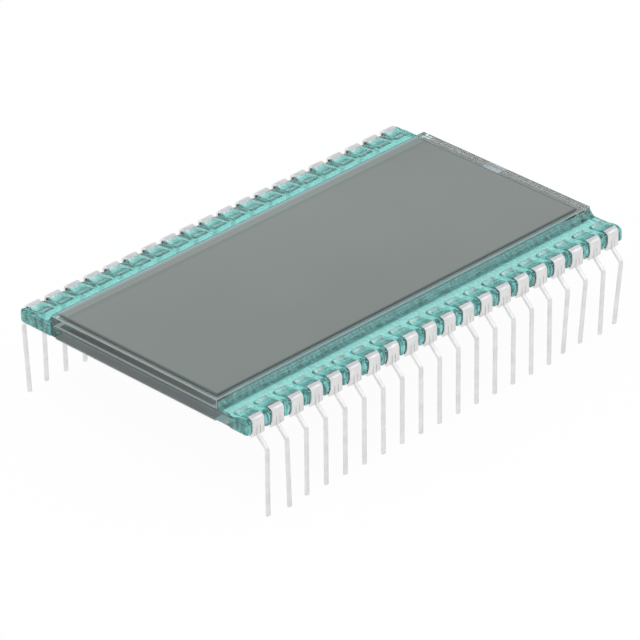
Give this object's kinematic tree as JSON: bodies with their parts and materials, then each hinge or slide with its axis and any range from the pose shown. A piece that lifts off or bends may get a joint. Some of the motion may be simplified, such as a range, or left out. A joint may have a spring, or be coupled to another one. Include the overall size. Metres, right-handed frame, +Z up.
{
  "type": "segment lcd display",
  "caption": "Bare reflective segment LCD glass that stands on two rows of stamped clip-on leads, locked on by teal resin along both ledges.",
  "frame": {"origin": "midway between the two rows of leads and midway along them, on the plane of the lead tips", "axes": "+X along the rows, towards the end with the fill port; +Y across the rows, towards the back row; +Z up through the viewing face"},
  "size_m": [0.0514, 0.0336, 0.0111],
  "materials": {
    "rear_glass": "polished float glass with scribed edges",
    "front_glass": "polished float glass with scribed edges",
    "seal_epoxy": "cured printed epoxy",
    "liquid_crystal": "clear fluid film",
    "plug_glue": "cured clear glue",
    "front_polarizer": "smooth polarizing film",
    "rear_polarizer": "smooth polarizing film",
    "reflector_foil": "fine matt diffusing foil",
    "uv_resin": "glossy clear teal UV-cured resin",
    "tinned_pin": "satin tin plate"
  },
  "bodies": {
    "root": {"fill_port_plug": "plug_glue", "front_glass": "front_glass", "front_polarizer": "front_polarizer", "liquid_crystal": "liquid_crystal", "perimeter_seal": "seal_epoxy", "pin_01": "tinned_pin", "pin_02": "tinned_pin", "pin_03": "tinned_pin", "pin_04": "tinned_pin", "pin_05": "tinned_pin", "pin_06": "tinned_pin", "pin_07": "tinned_pin", "pin_08": "tinned_pin", "pin_09": "tinned_pin", "pin_10": "tinned_pin", "pin_11": "tinned_pin", "pin_12": "tinned_pin", "pin_13": "tinned_pin", "pin_14": "tinned_pin", "pin_15": "tinned_pin", "pin_16": "tinned_pin", "pin_17": "tinned_pin", "pin_18": "tinned_pin", "pin_19": "tinned_pin", "pin_20": "tinned_pin", "pin_21": "tinned_pin", "pin_22": "tinned_pin", "pin_23": "tinned_pin", "pin_24": "tinned_pin", "pin_25": "tinned_pin", "pin_26": "tinned_pin", "pin_27": "tinned_pin", "pin_28": "tinned_pin", "pin_29": "tinned_pin", "pin_30": "tinned_pin", "pin_31": "tinned_pin", "pin_32": "tinned_pin", "pin_33": "tinned_pin", "pin_34": "tinned_pin", "pin_35": "tinned_pin", "pin_36": "tinned_pin", "pin_37": "tinned_pin", "pin_38": "tinned_pin", "pin_39": "tinned_pin", "pin_40": "tinned_pin", "rear_glass": "rear_glass", "rear_polarizer": "rear_polarizer", "reflector": "reflector_foil", "resin_bead_back": "uv_resin", "resin_bead_front": "uv_resin"}
  },
  "joints": []
}
